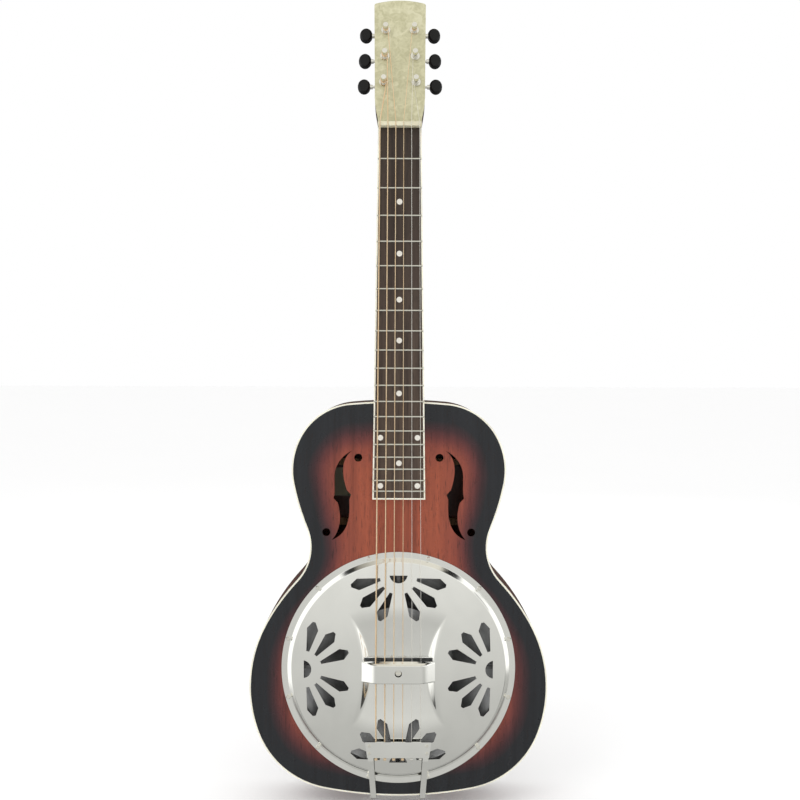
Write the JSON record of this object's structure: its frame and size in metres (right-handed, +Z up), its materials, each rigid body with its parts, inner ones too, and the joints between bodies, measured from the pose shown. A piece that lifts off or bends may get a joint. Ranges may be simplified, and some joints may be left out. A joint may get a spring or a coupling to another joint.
{
  "type": "resonator guitar",
  "caption": "Square-neck resonator guitar: wood body with f-holes, perforated metal coverplate with palm rest over a cone and spider, trapeze tailpiece and open-gear tuners.",
  "frame": {"origin": "on the outer face of the back, straight behind the saddle line at the centre of the cone", "axes": "+Z up the neck to the headstock, +Y out of the back, so the strings face -Y, +X to the treble side"},
  "size_m": [0.3552, 0.1085, 0.9639],
  "materials": {
    "sunburst_top": "semi-gloss sunburst lacquer, red-brown centre to blue-black edge",
    "mahogany": "dark mahogany, satin lacquer",
    "cream_binding": "cream plastic, polished",
    "inner_wood": "raw spruce and mahogany",
    "plywood": "raw plywood",
    "label": "plain dark paper",
    "spun_aluminium": "spun, fine turning lines",
    "cast_aluminium": "sand-cast",
    "saddle_wood": "maple",
    "chrome_plate": "polished plating",
    "nickel": "nickel plating",
    "pearloid": "greenish cream pearloid",
    "fingerboard_wood": "oiled dark hardwood",
    "fret_wire": "polished nickel silver",
    "pearl_dot": "pearl plastic",
    "bone": "bone",
    "bronze_string": "wound bronze",
    "steel_string": "plain steel",
    "black_plastic": "black plastic"
  },
  "bodies": {
    "root": {"body_top": "sunburst_top", "body_back": "mahogany", "body_sides": "mahogany", "top_binding": "cream_binding", "back_binding": "cream_binding", "linings": "inner_wood", "neck_block": "inner_wood", "tail_block": "inner_wood", "braces": "inner_wood", "soundwell": "plywood", "soundhole_label": "label", "cone": "spun_aluminium", "spider": "cast_aluminium", "saddle": "saddle_wood", "tension_screw": "nickel", "coverplate": "chrome_plate", "coverplate_screws": "nickel", "neck": "mahogany", "headstock_overlay": "pearloid", "fingerboard": "fingerboard_wood", "fingerboard_binding": "cream_binding", "frets": "fret_wire", "position_dots": "pearl_dot", "nut": "bone", "tailpiece": "chrome_plate", "tailpiece_rivets": "nickel", "strap_button": "nickel", "tuner_plates": "nickel", "tuner_bushings": "nickel", "tuner_screws": "nickel", "string_1": "steel_string", "string_2": "steel_string", "string_3": "bronze_string", "string_4": "bronze_string", "string_5": "bronze_string", "string_6": "bronze_string"},
    "tuner_1_key": {"tuner_1_worm_shaft": "nickel", "tuner_1_button": "black_plastic"},
    "tuner_1_spindle": {"tuner_1_post": "nickel", "string_1_wraps": "steel_string"},
    "tuner_2_key": {"tuner_2_worm_shaft": "nickel", "tuner_2_button": "black_plastic"},
    "tuner_2_spindle": {"tuner_2_post": "nickel", "string_2_wraps": "steel_string"},
    "tuner_3_key": {"tuner_3_worm_shaft": "nickel", "tuner_3_button": "black_plastic"},
    "tuner_3_spindle": {"tuner_3_post": "nickel", "string_3_wraps": "bronze_string"},
    "tuner_4_key": {"tuner_4_worm_shaft": "nickel", "tuner_4_button": "black_plastic"},
    "tuner_4_spindle": {"tuner_4_post": "nickel", "string_4_wraps": "bronze_string"},
    "tuner_5_key": {"tuner_5_worm_shaft": "nickel", "tuner_5_button": "black_plastic"},
    "tuner_5_spindle": {"tuner_5_post": "nickel", "string_5_wraps": "bronze_string"},
    "tuner_6_key": {"tuner_6_worm_shaft": "nickel", "tuner_6_button": "black_plastic"},
    "tuner_6_spindle": {"tuner_6_post": "nickel", "string_6_wraps": "bronze_string"}
  },
  "joints": [
    {"name": "tuner_1_button_turn", "type": "hinge", "parent": "root", "child": "tuner_1_key", "pos_m": [0.019, -0.04818, 0.69243], "axis": [1, 0, 0], "continuous": true},
    {"name": "tuner_1_post_turn", "type": "hinge", "parent": "root", "child": "tuner_1_spindle", "pos_m": [0.019, -0.07025, 0.69114], "axis": [0, -0.9703, 0.2419], "continuous": true},
    {"name": "tuner_2_button_turn", "type": "hinge", "parent": "root", "child": "tuner_2_key", "pos_m": [0.018, -0.04008, 0.72494], "axis": [1, 0, 0], "continuous": true},
    {"name": "tuner_2_post_turn", "type": "hinge", "parent": "root", "child": "tuner_2_spindle", "pos_m": [0.018, -0.06215, 0.72364], "axis": [0, -0.9703, 0.2419], "continuous": true},
    {"name": "tuner_3_button_turn", "type": "hinge", "parent": "root", "child": "tuner_3_key", "pos_m": [0.017, -0.03192, 0.75764], "axis": [1, 0, 0], "continuous": true},
    {"name": "tuner_3_post_turn", "type": "hinge", "parent": "root", "child": "tuner_3_spindle", "pos_m": [0.017, -0.05399, 0.75634], "axis": [0, -0.9703, 0.2419], "continuous": true},
    {"name": "tuner_4_button_turn", "type": "hinge", "parent": "root", "child": "tuner_4_key", "pos_m": [-0.017, -0.03192, 0.75764], "axis": [1, 0, 0], "continuous": true},
    {"name": "tuner_4_post_turn", "type": "hinge", "parent": "root", "child": "tuner_4_spindle", "pos_m": [-0.017, -0.05399, 0.75634], "axis": [0, -0.9703, 0.2419], "continuous": true},
    {"name": "tuner_5_button_turn", "type": "hinge", "parent": "root", "child": "tuner_5_key", "pos_m": [-0.018, -0.04008, 0.72494], "axis": [1, 0, 0], "continuous": true},
    {"name": "tuner_5_post_turn", "type": "hinge", "parent": "root", "child": "tuner_5_spindle", "pos_m": [-0.018, -0.06215, 0.72364], "axis": [0, -0.9703, 0.2419], "continuous": true},
    {"name": "tuner_6_button_turn", "type": "hinge", "parent": "root", "child": "tuner_6_key", "pos_m": [-0.019, -0.04818, 0.69243], "axis": [1, 0, 0], "continuous": true},
    {"name": "tuner_6_post_turn", "type": "hinge", "parent": "root", "child": "tuner_6_spindle", "pos_m": [-0.019, -0.07025, 0.69114], "axis": [0, -0.9703, 0.2419], "continuous": true}
  ],
  "couplings": [
    {"joint": "tuner_1_post_turn", "follows": "tuner_1_button_turn", "ratio": -0.076923},
    {"joint": "tuner_2_post_turn", "follows": "tuner_2_button_turn", "ratio": -0.076923},
    {"joint": "tuner_3_post_turn", "follows": "tuner_3_button_turn", "ratio": -0.076923},
    {"joint": "tuner_4_post_turn", "follows": "tuner_4_button_turn", "ratio": 0.076923},
    {"joint": "tuner_5_post_turn", "follows": "tuner_5_button_turn", "ratio": 0.076923},
    {"joint": "tuner_6_post_turn", "follows": "tuner_6_button_turn", "ratio": 0.076923}
  ]
}
